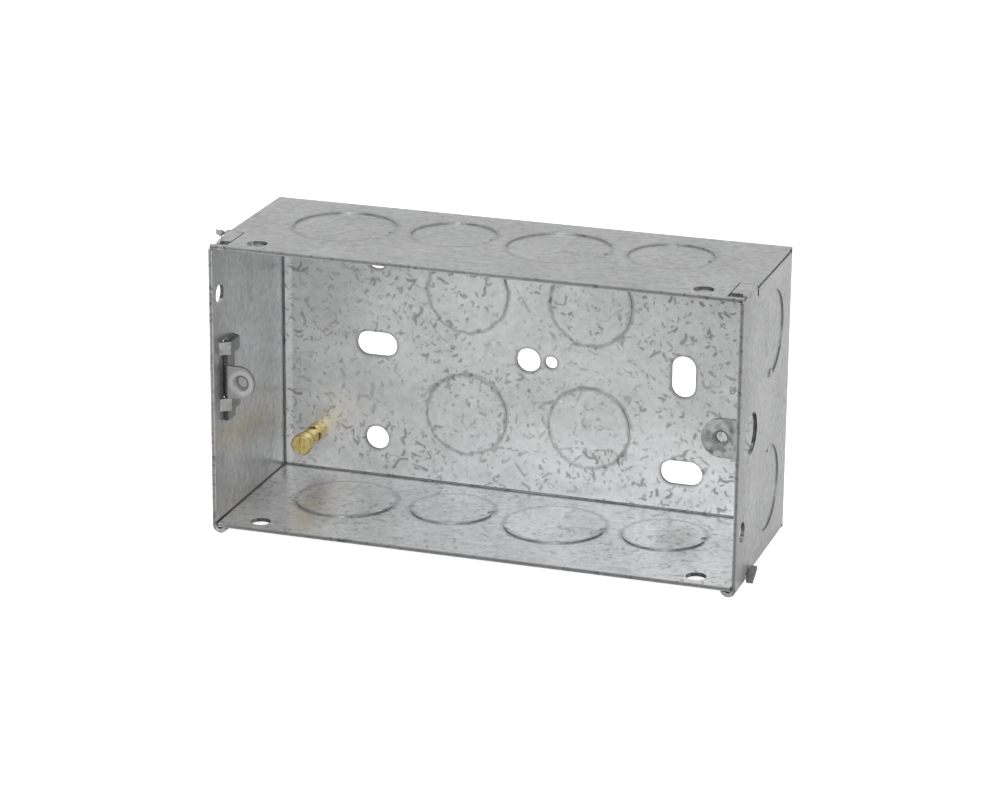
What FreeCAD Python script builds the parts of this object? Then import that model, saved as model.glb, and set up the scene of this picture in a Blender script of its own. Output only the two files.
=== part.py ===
import FreeCAD, Part
import math
import os

from FreeCAD import Vector

# Two-gang flush wall box: a tray folded from one zinc-coated sheet, with an adjustable
# fixing lug and a brass earth terminal. Sizes are in millimetres. The origin is the centre
# of the back plate's outer face, the open front looks along -Y, and +Z is up.

# Tray
BOX_WIDTH = 132.5
BOX_HEIGHT = 72.0
BOX_DEPTH = 47.0
SHEET = 1.0
BEND_RADIUS = 1.3
CREASE_DEPTH = 0.45
SEAM_GAP = 0.25
SEAM_LAP = 0.6

# Cable knockouts, part-sheared and pushed inwards, each held by an unsheared nib. Only the face
# that is seen from the front, above and the right has the step, and the other face is level.
SMALL_KNOCKOUT = 21.0
LARGE_KNOCKOUT = 25.5
KNOCKOUT_STEP = 0.35
NIB_WIDTH = 2.6
NIB_DEPTH = 1.3
KNOCKOUT_BACK_MARGIN = 8.0
LONG_WALL_PITCH = 27.3
END_WALL_PITCH = 39.0
BACK_KNOCKOUT_PITCH = 32.0

# Wall-fixing holes and slots in the back plate
FIXING_HOLE = 6.2
FIXING_SLOT_LENGTH = 10.7
FIXING_END_INSET = 26.25
FIXING_EDGE_INSET = 11.0
PILOT_HOLE = 3.2
PILOT_OFFSET = 5.9

# Plaster-key holes near the front edge
KEY_HOLE = 5.0
KEY_SETBACK = 4.6
KEY_END_INSET = 10.85
KEY_EDGE_INSET = 13.5

# Lugs that take the face plate's screws
LUG_INSET = 5.95
LUG_SETBACK = 5.0
LUG_RADIUS = 4.8
LUG_BEND_RADIUS = 1.3
TAPPED_RADIUS = 1.45
COLLAR_RADIUS = 2.3
COLLAR_LENGTH = 1.0
LEAD_IN = 0.6
LANCE_GAP = 0.3

# Sliding lug and the two belt loops that hold it
SLIDE_SHEET = 1.0
SLIDE_CLEARANCE = 0.15
SLIDE_DOWN = 0.1
SLIDE_UP = 2.9
SLIDE_WIDTH = 4.6
SLIDE_TAB_HALF = 4.1
SLIDE_TIP_PULL = 0.7
SLIDE_TAIL = 2.9
LOOP_HEIGHT = 3.2
LOOP_LEG = 1.15
LOOP_SLOPE = 0.7

# Tabs that close the corners
NOTCH_SETBACK = 0.9
TAB_SETBACK = 4.2
TAB_WIDTH = 8.2
TAB_REACH = 4.2
TAB_CLEARANCE = 0.3
SLIT_WIDTH = 1.2
SLIT_DEPTH = 2.0
CURL_RADIUS = 1.9
CURL_DROP = 1.5
CURL_WIDTH = 9.0
TWIST_LENGTH = 4.8
TWIST_REACH = 1.8
TWIST_SETBACK = 11.4
TWIST_ANGLE = 28.0
TAB_STANDOFF = 0.2

# Brass earth terminal on the back plate
TERMINAL_END_INSET = 10.4
TERMINAL_EDGE_INSET = 11.25
PILLAR_RADIUS = 2.25
PILLAR_LENGTH = 8.4
PILLAR_CHAMFER = 0.25
SPIGOT_RADIUS = 1.3
FLARE_RADIUS = 1.9
SPIGOT_CLEARANCE = 0.03
WIRE_HOLE_RADIUS = 1.1
WIRE_HOLE_HEIGHT = 5.0
PILLAR_FLOOR = 2.5
SCREW_RADIUS = 1.25
SCREW_CLEARANCE = 0.08
SCREW_HEAD_RADIUS = 2.7
SCREW_HEAD_LENGTH = 2.8
SCREW_GAP = 1.6
SCREW_SLOT_WIDTH = 0.7
SCREW_SLOT_DEPTH = 0.7
SCREW_CHAMFER = 0.3

# Places worked out from the sizes above
HALF_WIDTH = BOX_WIDTH / 2
HALF_HEIGHT = BOX_HEIGHT / 2
FRONT = -BOX_DEPTH
INNER_BACK = -SHEET
LUG_FACE = FRONT + LUG_SETBACK
LUG_COLUMN = HALF_WIDTH - LUG_INSET
FIXING_COLUMN = HALF_WIDTH - FIXING_END_INSET
FIXING_ROW = HALF_HEIGHT - FIXING_EDGE_INSET
KEY_COLUMN = HALF_WIDTH - KEY_END_INSET
KEY_ROW = HALF_HEIGHT - KEY_EDGE_INSET
TERMINAL_COLUMN = HALF_WIDTH - TERMINAL_END_INSET
TERMINAL_ROW = HALF_HEIGHT - TERMINAL_EDGE_INSET
SLIDE_FACE = -HALF_WIDTH + SHEET + SLIDE_CLEARANCE
LOOP_BELOW = SLIDE_TAB_HALF + SLIDE_DOWN
LOOP_ABOVE = SLIDE_TAB_HALF + SLIDE_UP
PILLAR_END = INNER_BACK - PILLAR_LENGTH
SCREW_SHOULDER = PILLAR_END - SCREW_GAP
WIRE_AXIS = INNER_BACK - WIRE_HOLE_HEIGHT
SCREW_TIP = WIRE_AXIS - WIRE_HOLE_RADIUS - SCREW_CLEARANCE

X_AXIS = Vector(1, 0, 0)
Y_AXIS = Vector(0, 1, 0)
Z_AXIS = Vector(0, 0, 1)
ORIGIN = Vector(0, 0, 0)


def block(x_span, y_span, z_span):
    low = [min(span) for span in (x_span, y_span, z_span)]
    high = [max(span) for span in (x_span, y_span, z_span)]
    sides = [top - bottom for bottom, top in zip(low, high)]
    return Part.makeBox(*sides, Vector(*low))


def prism(points, sweep):
    outline = Part.makePolygon(points + points[:1])
    return Part.Face(outline).extrude(sweep)


def hole(centre, outward, radius):
    return Part.makeCylinder(radius, 4 * SHEET, centre - outward * 2 * SHEET, outward)


def slot(centre, outward, along, length, width):
    reach = along * ((length - width) / 2)
    across = outward.cross(along) * (width / 2)
    corners = [reach + across, across - reach, -reach - across, reach - across]
    base = centre - outward * 2 * SHEET
    middle = prism([base + corner for corner in corners], outward * 4 * SHEET)
    ends = [hole(centre + side, outward, width / 2) for side in (reach, -reach)]
    return middle.multiFuse(ends)


def half_turn(shape):
    turned = shape.copy()
    turned.rotate(ORIGIN, Y_AXIS, 180)
    return turned


def mirrored_x(shape):
    return shape.mirror(ORIGIN, X_AXIS)


def bent_strip(leg_u, leg_v, sheet, radius, width, origin, axis_u, axis_v):
    """An L-section of sheet: its outer corner lies at origin and its legs run along u and v."""
    inner = radius - sheet
    diagonal = math.sqrt(0.5)

    def place(u, v):
        return origin + axis_u * u + axis_v * v

    inner_middle = radius - inner * diagonal
    outer_middle = radius - radius * diagonal
    edges = [
        Part.LineSegment(place(radius, 0), place(leg_u, 0)),
        Part.LineSegment(place(leg_u, 0), place(leg_u, sheet)),
        Part.LineSegment(place(leg_u, sheet), place(radius, sheet)),
        Part.Arc(place(radius, sheet), place(inner_middle, inner_middle), place(sheet, radius)),
        Part.LineSegment(place(sheet, radius), place(sheet, leg_v)),
        Part.LineSegment(place(sheet, leg_v), place(0, leg_v)),
        Part.LineSegment(place(0, leg_v), place(0, radius)),
        Part.Arc(place(0, radius), place(outer_middle, outer_middle), place(radius, 0)),
    ]
    outline = Part.Wire([edge.toShape() for edge in edges])
    return Part.Face(outline).extrude(axis_u.cross(axis_v) * width)


def crease(start, across, sweep):
    """The scored line along the inside of a fold."""
    corners = [start + way * CREASE_DEPTH for way in (Y_AXIS, across, -Y_AXIS, -across)]
    return prism(corners, sweep)


def tray():
    """The sheet before it is pierced: four walls bent up, the long ones lapping over the ends' edges."""
    outside = block((-HALF_WIDTH, HALF_WIDTH), (FRONT, 0), (-HALF_HEIGHT, HALF_HEIGHT))
    on_back = [edge for edge in outside.Edges if edge.BoundBox.YMin > FRONT / 2]
    outside = outside.makeFillet(BEND_RADIUS, on_back)
    half_inner_width = HALF_WIDTH - SHEET
    half_inner_height = HALF_HEIGHT - SHEET
    hollow = block((-half_inner_width, half_inner_width), (FRONT - SHEET, INNER_BACK),
                   (-half_inner_height, half_inner_height))
    tools = [hollow]
    for side in (-1, 1):
        long_start = Vector(-half_inner_width, INNER_BACK, side * half_inner_height)
        short_start = Vector(side * half_inner_width, INNER_BACK, -half_inner_height)
        tools.append(crease(long_start, Z_AXIS, X_AXIS * 2 * half_inner_width))
        tools.append(crease(short_start, X_AXIS, Z_AXIS * 2 * half_inner_height))
        beyond_end = side * (HALF_WIDTH + SHEET)
        for level in (-1, 1):
            edge = level * (half_inner_height - SEAM_GAP)
            tools.append(block((side * half_inner_width, beyond_end), (FRONT - SHEET, INNER_BACK),
                               (edge, level * half_inner_height)))
            tools.append(block((side * (half_inner_width + SEAM_LAP), beyond_end), (FRONT - SHEET, INNER_BACK),
                               (edge, level * (HALF_HEIGHT + SHEET))))
    return outside.cut(tools)


def knockout_places():
    """Yields centre, outward direction, diameter, the way the nib points, and whether the slug stands proud."""
    diameters = [LARGE_KNOCKOUT, SMALL_KNOCKOUT, LARGE_KNOCKOUT, SMALL_KNOCKOUT]
    for level in (-1, 1):
        for index, diameter in enumerate(diameters):
            x = (index - 1.5) * LONG_WALL_PITCH
            y = -KNOCKOUT_BACK_MARGIN - diameter / 2
            yield Vector(x, y, level * HALF_HEIGHT), Z_AXIS * level, diameter, X_AXIS, level < 0
    for side in (-1, 1):
        for level in (-1, 1):
            y = -KNOCKOUT_BACK_MARGIN - SMALL_KNOCKOUT / 2
            z = level * END_WALL_PITCH / 2
            yield Vector(side * HALF_WIDTH, y, z), X_AXIS * side, SMALL_KNOCKOUT, Z_AXIS * -level, False
            centre = Vector(side, 0, level) * (BACK_KNOCKOUT_PITCH / 2)
            inwards = Vector(-side, 0, -level).normalize()
            yield centre, Y_AXIS, SMALL_KNOCKOUT, inwards, True


def knockout_nib(centre, outward, nib_way, radius):
    """The unsheared tie at one place of a knockout's edge, narrower towards its middle."""
    across = outward.cross(nib_way) * (NIB_WIDTH / 2)
    base = centre + nib_way * radius - outward * 2 * SHEET
    outer = base + nib_way * NIB_DEPTH
    inner = base - nib_way * NIB_DEPTH
    corners = [outer + across, base + across, inner + across / 2, inner - across / 2, base - across, outer - across]
    return prism(corners, outward * 4 * SHEET)


def knockouts():
    """Recesses outside the top and end walls, and proud slugs inside the back plate and the bottom wall."""
    recesses = []
    slugs = []
    for centre, outward, diameter, nib_way, proud in knockout_places():
        radius = diameter / 2
        depth = SHEET + KNOCKOUT_STEP if proud else KNOCKOUT_STEP
        disc = Part.makeCylinder(radius, KNOCKOUT_STEP + SHEET / 2, centre - outward * depth, outward)
        disc = disc.cut(knockout_nib(centre, outward, nib_way, radius))
        (slugs if proud else recesses).append(disc)
    return recesses, slugs


def back_plate_holes():
    left, right = -FIXING_COLUMN, FIXING_COLUMN
    low, high = -FIXING_ROW, FIXING_ROW
    tools = [hole(Vector(x, 0, z), Y_AXIS, FIXING_HOLE / 2) for x, z in ((left, low), (0, 0), (right, high))]
    tools.append(hole(Vector(PILOT_OFFSET, 0, 0), Y_AXIS, PILOT_HOLE / 2))
    for x, z, along in ((left, 0, X_AXIS), (right, 0, Z_AXIS), (right, low, X_AXIS), (left, high, Z_AXIS)):
        tools.append(slot(Vector(x, 0, z), Y_AXIS, along, FIXING_SLOT_LENGTH, FIXING_HOLE))
    terminal = Vector(-TERMINAL_COLUMN, INNER_BACK, -TERMINAL_ROW)
    tools.append(terminal_spigot(terminal, 0))
    return tools


def key_holes():
    y = FRONT + KEY_SETBACK
    tools = []
    for side in (-1, 1):
        for level in (-1, 1):
            tools.append(hole(Vector(side * KEY_COLUMN, y, level * HALF_HEIGHT), Z_AXIS, KEY_HOLE / 2))
        tools.append(hole(Vector(side * HALF_WIDTH, y, -side * KEY_ROW), X_AXIS, KEY_HOLE / 2))
    return tools


def tapped_collar(face_y, x, sheet):
    """The plunged collar behind a lug, and the tapped hole with its rounded lead-in."""
    back_y = face_y + sheet + COLLAR_LENGTH
    collar = Part.makeCylinder(COLLAR_RADIUS, sheet + COLLAR_LENGTH, Vector(x, face_y, 0), Y_AXIS)
    bore = Part.makeCylinder(TAPPED_RADIUS, back_y - face_y + 2 * SHEET, Vector(x, face_y - SHEET, 0), Y_AXIS)
    mouth = Part.makeCone(TAPPED_RADIUS + LEAD_IN, TAPPED_RADIUS, LEAD_IN, Vector(x, face_y, 0), Y_AXIS)
    return collar, bore.fuse(mouth)


def fixed_lug():
    """The half-round lug lanced from the right wall, and the gap that it leaves there."""
    heel = LUG_FACE + SHEET
    centre_x = LUG_COLUMN
    reach = LUG_INSET
    strip = bent_strip(2 * LUG_BEND_RADIUS, reach, SHEET, LUG_BEND_RADIUS, 2 * LUG_RADIUS,
                       Vector(HALF_WIDTH, heel, LUG_RADIUS), -Y_AXIS, -X_AXIS)
    tip = Part.makeCylinder(LUG_RADIUS, SHEET, Vector(centre_x, LUG_FACE, 0), Y_AXIS)
    collar, bore = tapped_collar(LUG_FACE, centre_x, SHEET)
    lug = strip.multiFuse([tip, collar]).cut(bore)
    half_gap = LUG_RADIUS + LANCE_GAP
    end = heel + reach - SHEET
    gap = block((HALF_WIDTH - 2 * SHEET, HALF_WIDTH + SHEET), (heel - LUG_BEND_RADIUS, end),
                (-half_gap, half_gap))
    round_end = hole(Vector(HALF_WIDTH, end, 0), X_AXIS, half_gap)
    return lug, gap.fuse(round_end)


def belt_loop(level):
    """One bridge lanced from the left wall over the sliding lug, and its gap in the wall."""
    lift = SLIDE_SHEET + 2 * SLIDE_CLEARANCE
    wall_face = -HALF_WIDTH + SHEET
    room = SLIDE_CLEARANCE + LOOP_LEG + LOOP_SLOPE * (SLIDE_CLEARANCE + SLIDE_SHEET)
    strip_front = LUG_FACE + SLIDE_SHEET
    front = strip_front - room
    back = strip_front + SLIDE_WIDTH + room
    start = LOOP_ABOVE if level > 0 else LOOP_BELOW
    low, high = sorted((level * start, level * (start + LOOP_HEIGHT)))
    rise = LOOP_SLOPE * (lift + SHEET)
    hang = LOOP_LEG + LOOP_SLOPE * lift
    foot = LOOP_LEG - LOOP_SLOPE * SHEET
    half_outline = [(-SHEET, -SHEET), (-SHEET, 0), (0, 0), (rise, lift + SHEET)]
    half_inside = [(hang, lift), (foot, -SHEET)]
    outline = [(front + along, depth) for along, depth in half_outline]
    outline += [(back - along, depth) for along, depth in reversed(half_outline)]
    outline += [(back - along, depth) for along, depth in reversed(half_inside)]
    outline += [(front + along, depth) for along, depth in half_inside]
    points = [Vector(wall_face + depth, y, low) for y, depth in outline]
    bridge = prism(points, Z_AXIS * LOOP_HEIGHT)
    gap = block((wall_face - 2 * SHEET, wall_face + SHEET), (strip_front, strip_front + SLIDE_WIDTH), (low, high))
    return bridge, gap


def top_tab():
    """The right wall's tab, bent flush into a notch in the top wall, with a slit behind it."""
    front = FRONT + TAB_SETBACK
    back = front + TAB_WIDTH
    leg = 2 * SHEET + SEAM_GAP
    tab = bent_strip(TAB_REACH, leg, SHEET, BEND_RADIUS, TAB_WIDTH,
                     Vector(HALF_WIDTH, back, HALF_HEIGHT), -X_AXIS, -Z_AXIS)
    notch = block((HALF_WIDTH - TAB_REACH - TAB_CLEARANCE, HALF_WIDTH + SHEET),
                  (FRONT + NOTCH_SETBACK, back + SEAM_GAP),
                  (HALF_HEIGHT - SHEET - SEAM_GAP, HALF_HEIGHT + SHEET))
    wall = (HALF_WIDTH - 2 * SHEET, HALF_WIDTH + SHEET)
    top = HALF_HEIGHT - SHEET
    slit = block(wall, (back, back + SLIT_WIDTH), (top - SLIT_DEPTH, top))
    return tab, [notch, slit]


def bottom_curl():
    """The right wall's tab, curled round under the bottom wall at the front corner, and its notch."""
    centre_x = HALF_WIDTH - CURL_RADIUS
    centre_z = -HALF_HEIGHT - CURL_DROP + CURL_RADIUS
    centre = Vector(centre_x, FRONT, centre_z)
    ring = Part.makeCylinder(CURL_RADIUS, CURL_WIDTH, centre, Y_AXIS)
    ring = ring.cut(Part.makeCylinder(CURL_RADIUS - SHEET, CURL_WIDTH, centre, Y_AXIS))
    y_span = (FRONT, FRONT + CURL_WIDTH)
    upper = block((centre_x - 2 * CURL_RADIUS, HALF_WIDTH + SHEET), y_span,
                  (centre_z, centre_z + 2 * CURL_RADIUS))
    beside_wall = block((centre_x - 2 * CURL_RADIUS, centre_x), y_span,
                        (-HALF_HEIGHT - TAB_STANDOFF, centre_z))
    leg = block((HALF_WIDTH - SHEET, HALF_WIDTH), y_span,
                (centre_z, -HALF_HEIGHT + 2 * SHEET + SEAM_GAP))
    notch = block((HALF_WIDTH - SHEET - SEAM_GAP, HALF_WIDTH + SHEET),
                  (FRONT - SHEET, FRONT + CURL_WIDTH + SEAM_GAP),
                  (-HALF_HEIGHT - SHEET, -HALF_HEIGHT + SHEET + SEAM_GAP))
    return ring.cut([upper, beside_wall]).fuse(leg), notch


def twist_tab():
    """The bottom wall's tongue, passed under the right wall and twisted to lock it."""
    middle = Vector(HALF_WIDTH, FRONT + TWIST_SETBACK, -HALF_HEIGHT + SHEET / 2)
    y_span = (middle.y - TWIST_LENGTH / 2, middle.y + TWIST_LENGTH / 2)
    z_span = (-HALF_HEIGHT, -HALF_HEIGHT + SHEET)
    root_start = HALF_WIDTH - 2 * SHEET - SEAM_GAP
    root = block((root_start, HALF_WIDTH + 2 * TAB_STANDOFF), y_span, z_span)
    blade = block((HALF_WIDTH + TAB_STANDOFF, HALF_WIDTH + TWIST_REACH), y_span, z_span)
    blade.rotate(middle, X_AXIS, TWIST_ANGLE)
    return root.fuse(blade)


def box_shell():
    lug, lug_gap = fixed_lug()
    loops = [belt_loop(level) for level in (-1, 1)]
    tab, reliefs = top_tab()
    curl, curl_notch = bottom_curl()
    twist = twist_tab()
    recesses, slugs = knockouts()
    cuts = recesses + back_plate_holes() + key_holes() + [lug_gap]
    cuts += reliefs + [mirrored_x(relief) for relief in reliefs]
    cuts += [curl_notch, mirrored_x(curl_notch)]
    cuts += [gap for bridge, gap in loops]
    added = slugs + [lug, tab, mirrored_x(tab), curl, mirrored_x(curl), twist, half_turn(twist)]
    added += [bridge for bridge, gap in loops]
    return tray().cut(cuts).multiFuse(added).removeSplitter()


def adjustable_lug():
    """A strip that slides under the loops, with a half-round tapped tab bent off its front edge."""
    centre_x = -LUG_COLUMN
    tip_x = centre_x - SLIDE_TIP_PULL
    outer_corner = Vector(SLIDE_FACE, LUG_FACE, -SLIDE_TAB_HALF)
    reach = tip_x - SLIDE_FACE
    bent = bent_strip(reach, SLIDE_SHEET + SLIDE_WIDTH, SLIDE_SHEET, LUG_BEND_RADIUS, 2 * SLIDE_TAB_HALF,
                      outer_corner, X_AXIS, Y_AXIS)
    tip = Part.makeCylinder(SLIDE_TAB_HALF, SLIDE_SHEET, Vector(tip_x, LUG_FACE, 0), Y_AXIS)
    beside_tip = block((SLIDE_FACE - SLIDE_TAB_HALF, SLIDE_FACE + LUG_BEND_RADIUS), (LUG_FACE - 1, INNER_BACK),
                       (-SLIDE_TAB_HALF, SLIDE_TAB_HALF))
    strip_end = LOOP_BELOW + LOOP_HEIGHT + SLIDE_TAIL
    strip_front = LUG_FACE + SLIDE_SHEET
    strip = block((SLIDE_FACE, SLIDE_FACE + SLIDE_SHEET), (strip_front, strip_front + SLIDE_WIDTH),
                  (-strip_end, strip_end))
    strip = strip.cut(beside_tip)
    collar, bore = tapped_collar(LUG_FACE, centre_x, SLIDE_SHEET)
    return bent.multiFuse([tip.cut(beside_tip), strip, collar]).cut(bore).removeSplitter()


def terminal_spigot(seat, slack):
    """The pillar's shank through the back plate, spread into a countersink on the outside."""
    flare_depth = SHEET / 2
    shank = Part.makeCylinder(SPIGOT_RADIUS - slack, SHEET, seat, Y_AXIS)
    flare_base = seat + Y_AXIS * (SHEET - flare_depth)
    flare = Part.makeCone(SPIGOT_RADIUS - slack, FLARE_RADIUS - slack, flare_depth, flare_base, Y_AXIS)
    return shank.fuse(flare)


def earth_terminal_pillar():
    """A turned brass post with crossed wire holes and a tapped bore for the clamping screw."""
    seat = Vector(-TERMINAL_COLUMN, INNER_BACK, -TERMINAL_ROW)
    post = Part.makeCylinder(PILLAR_RADIUS, PILLAR_LENGTH, seat, -Y_AXIS)
    rim = [edge for edge in post.Edges if edge.BoundBox.YMax < PILLAR_END + PILLAR_CHAMFER]
    post = post.makeChamfer(PILLAR_CHAMFER, rim)
    bore_floor = seat - Y_AXIS * PILLAR_FLOOR
    bore = Part.makeCylinder(SCREW_RADIUS + SCREW_CLEARANCE, PILLAR_LENGTH, bore_floor, -Y_AXIS)
    crossing = Vector(seat.x, WIRE_AXIS, seat.z)
    ways = [Part.makeCylinder(WIRE_HOLE_RADIUS, 4 * PILLAR_RADIUS, crossing - axis * 2 * PILLAR_RADIUS, axis)
            for axis in (X_AXIS, Z_AXIS)]
    return post.fuse(terminal_spigot(seat, SPIGOT_CLEARANCE)).cut([bore] + ways).removeSplitter()


def earth_terminal_screw():
    """The slotted cheese-head screw that clamps the earth wire."""
    shoulder = Vector(-TERMINAL_COLUMN, SCREW_SHOULDER, -TERMINAL_ROW)
    head_face = SCREW_SHOULDER - SCREW_HEAD_LENGTH
    head = Part.makeCylinder(SCREW_HEAD_RADIUS, SCREW_HEAD_LENGTH, shoulder, -Y_AXIS)
    head_rim = [edge for edge in head.Edges if edge.BoundBox.YMax < head_face + SCREW_CHAMFER]
    head = head.makeChamfer(SCREW_CHAMFER, head_rim)
    shank = Part.makeCylinder(SCREW_RADIUS, SCREW_TIP - SCREW_SHOULDER, shoulder, Y_AXIS)
    tip_rim = [edge for edge in shank.Edges if edge.BoundBox.YMin > SCREW_TIP - SCREW_CHAMFER]
    shank = shank.makeChamfer(SCREW_CHAMFER, tip_rim)
    half_slot = SCREW_SLOT_WIDTH / 2
    driver_slot = block((shoulder.x - half_slot, shoulder.x + half_slot),
                        (head_face - SHEET, head_face + SCREW_SLOT_DEPTH),
                        (shoulder.z - 2 * SCREW_HEAD_RADIUS, shoulder.z + 2 * SCREW_HEAD_RADIUS))
    return head.cut(driver_slot).fuse(shank).removeSplitter()


def main():
    os.makedirs("parts", exist_ok=True)
    nodes = {
        "box_shell": box_shell(),
        "adjustable_lug": adjustable_lug(),
        "earth_terminal_pillar": earth_terminal_pillar(),
        "earth_terminal_screw": earth_terminal_screw(),
    }
    for name, shape in nodes.items():
        bounds = shape.BoundBox
        print(name, "solids", len(shape.Solids), "valid", shape.isValid(), "volume", round(shape.Volume, 2),
              "x", round(bounds.XMin, 2), round(bounds.XMax, 2),
              "y", round(bounds.YMin, 2), round(bounds.YMax, 2),
              "z", round(bounds.ZMin, 2), round(bounds.ZMax, 2))
        shape.exportStep("parts/" + name + ".step")


main()
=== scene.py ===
import math

import bpy
from bpy.props import FloatProperty, FloatVectorProperty, IntProperty, PointerProperty
from bpy.types import Operator, Panel, PropertyGroup
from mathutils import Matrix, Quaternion, Vector


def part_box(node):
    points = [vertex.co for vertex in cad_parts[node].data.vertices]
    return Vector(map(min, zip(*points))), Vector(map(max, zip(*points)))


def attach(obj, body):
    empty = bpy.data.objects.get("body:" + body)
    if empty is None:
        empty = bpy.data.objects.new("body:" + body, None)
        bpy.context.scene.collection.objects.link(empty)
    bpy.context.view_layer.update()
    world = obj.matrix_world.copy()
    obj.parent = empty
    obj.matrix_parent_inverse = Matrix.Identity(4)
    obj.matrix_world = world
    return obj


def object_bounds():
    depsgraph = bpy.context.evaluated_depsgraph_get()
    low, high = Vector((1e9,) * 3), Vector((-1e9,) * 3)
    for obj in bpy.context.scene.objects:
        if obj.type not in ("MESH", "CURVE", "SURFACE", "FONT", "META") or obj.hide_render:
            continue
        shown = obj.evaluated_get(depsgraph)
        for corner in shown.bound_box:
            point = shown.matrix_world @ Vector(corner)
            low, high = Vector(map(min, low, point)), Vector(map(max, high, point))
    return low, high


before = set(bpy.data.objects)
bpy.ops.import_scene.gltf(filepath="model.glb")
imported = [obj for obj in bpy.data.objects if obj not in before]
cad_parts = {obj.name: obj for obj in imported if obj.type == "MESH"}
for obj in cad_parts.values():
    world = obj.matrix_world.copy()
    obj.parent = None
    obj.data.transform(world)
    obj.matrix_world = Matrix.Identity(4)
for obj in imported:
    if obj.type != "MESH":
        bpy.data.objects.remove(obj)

bl_info = {
    "name": "Flush Back Box",
    "version": (1, 0, 0),
    "blender": (4, 5, 0),
    "location": "View3D > Sidebar > Back Box",
    "description": "Finishes, thread ridges and studio for a two-gang flush wall box",
    "category": "Object",
}

CAD_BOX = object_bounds()
MM = 0.001
WHITE = (1.0, 1.0, 1.0, 1.0)

# Places on the box, in millimetres, that its finish follows. The back plate's outside is at y = 0, and the
# open front is at y = -47.
SHEET = 1.0
INNER_WIDE = 65.25
INNER_HIGH = 35.0
BACK_PLATE = (-1.5, 0.5)
LUG_COLUMN = 60.3

# Knockouts: distance between neighbours on a long wall, then each kind's place and radius
PAIR_PITCH = 27.3
LARGE_ROW, LARGE_RADIUS = -20.75, 12.75
SMALL_ROW, SMALL_RADIUS = -18.5, 10.5
END_UP = 19.5
BACK_OUT = 16.0

# Holes in the back plate: centre across and up, half of a slot's straight run either way, radius
HOLE, PILOT_HOLE, SLOT_RUN = 3.1, 1.6, 2.25
BACK_HOLES = (
    (-40.0, -25.0, 0.0, 0.0, HOLE), (0.0, 0.0, 0.0, 0.0, HOLE), (40.0, 25.0, 0.0, 0.0, HOLE),
    (5.9, 0.0, 0.0, 0.0, PILOT_HOLE),
    (-40.0, 0.0, SLOT_RUN, 0.0, HOLE), (40.0, 0.0, 0.0, SLOT_RUN, HOLE),
    (40.0, -25.0, SLOT_RUN, 0.0, HOLE), (-40.0, 25.0, 0.0, SLOT_RUN, HOLE))

# The belt loops of the left wall: how far they stand in, and their run up and along the wall
LOOP_IN = 2.5
LOOPS_UP = (-10.0, 12.0)
LOOPS_ALONG = (-45.0, -33.0)

# Noises of the zinc: scale per millimetre, detail, roughness, salt
STREAK_NOISE = (0.5, 3.0, 0.55, 1.0)
CLOUD_NOISE = (0.07, 2.0, 0.5, 2.0)
GRAIN_NOISE = (2.6, 2.0, 0.6, 3.0)
PATCH_NOISE = (0.06, 2.0, 0.6, 4.0)
BROKEN_NOISE = (0.45, 1.5, 0.5, 6.0)
WAVE_NOISE = (0.5, 1.0, 0.5, 9.0)
MOTTLE_NOISE = (0.45, 2.0, 0.55, 15.0)


class ZincFinish(PropertyGroup):
    """The zinc-coated sheet and the sliding lug."""

    tone: FloatVectorProperty(
        name="Sheet tone", description="Colour of clean zinc", subtype="COLOR", size=3,
        min=0.0, max=1.0, default=(0.63, 0.633, 0.637))
    lug_tone: FloatVectorProperty(
        name="Lug tone", description="Colour of the sliding lug", subtype="COLOR", size=3,
        min=0.0, max=1.0, default=(0.38, 0.38, 0.384))
    metallic: FloatProperty(
        name="Metallic", description="How far the zinc shades as metal", subtype="FACTOR",
        min=0.0, max=1.0, default=0.8)
    roughness: FloatProperty(
        name="Roughness, back", description="How dull the zinc of the back plate is", subtype="FACTOR",
        min=0.0, max=1.0, default=0.41)
    wall_roughness: FloatProperty(
        name="Roughness, walls", description="How dull the zinc of the walls is", subtype="FACTOR",
        min=0.0, max=1.0, default=0.32)
    fleck_cell: FloatProperty(
        name="Wisp size", description="Size of the dark wisps in the zinc",
        unit="LENGTH", min=0.0005, max=0.02, default=3.1 * MM)
    fleck_depth: FloatProperty(
        name="Wisp darkness, back", description="How much a wisp darkens the back plate",
        subtype="FACTOR", min=0.0, max=1.0, default=0.54)
    streak_depth: FloatProperty(
        name="Wisp darkness, walls", description="How much a wisp darkens the walls",
        subtype="FACTOR", min=0.0, max=1.0, default=0.2)
    # Line darkness: depth of the painted shade in the folds and corners and round the punched holes, and of
    # the knockouts' shear lines with their painted crevice shade.
    line_shade_depth: FloatProperty(
        name="Line darkness", description="How dark folds and knockout rims are", subtype="FACTOR",
        min=0.0, max=1.0, default=0.55)
    bare_depth: FloatProperty(
        name="Cut edge darkness", description="How much darker the sheet's bare cut edges are",
        subtype="FACTOR", min=0.0, max=1.0, default=0.78)


class BrassFinish(PropertyGroup):
    """The turned brass of the earth terminal."""

    tone: FloatVectorProperty(
        name="Brass tone", description="Colour of clean brass", subtype="COLOR", size=3,
        min=0.0, max=1.0, default=(0.70, 0.565, 0.24))
    roughness: FloatProperty(
        name="Roughness", description="How dull the brass is", subtype="FACTOR",
        min=0.0, max=1.0, default=0.33)
    turning_pitch: FloatProperty(
        name="Turning pitch", description="Distance between the lathe's marks", unit="LENGTH",
        min=0.00005, max=0.002, default=0.28 * MM)


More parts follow.
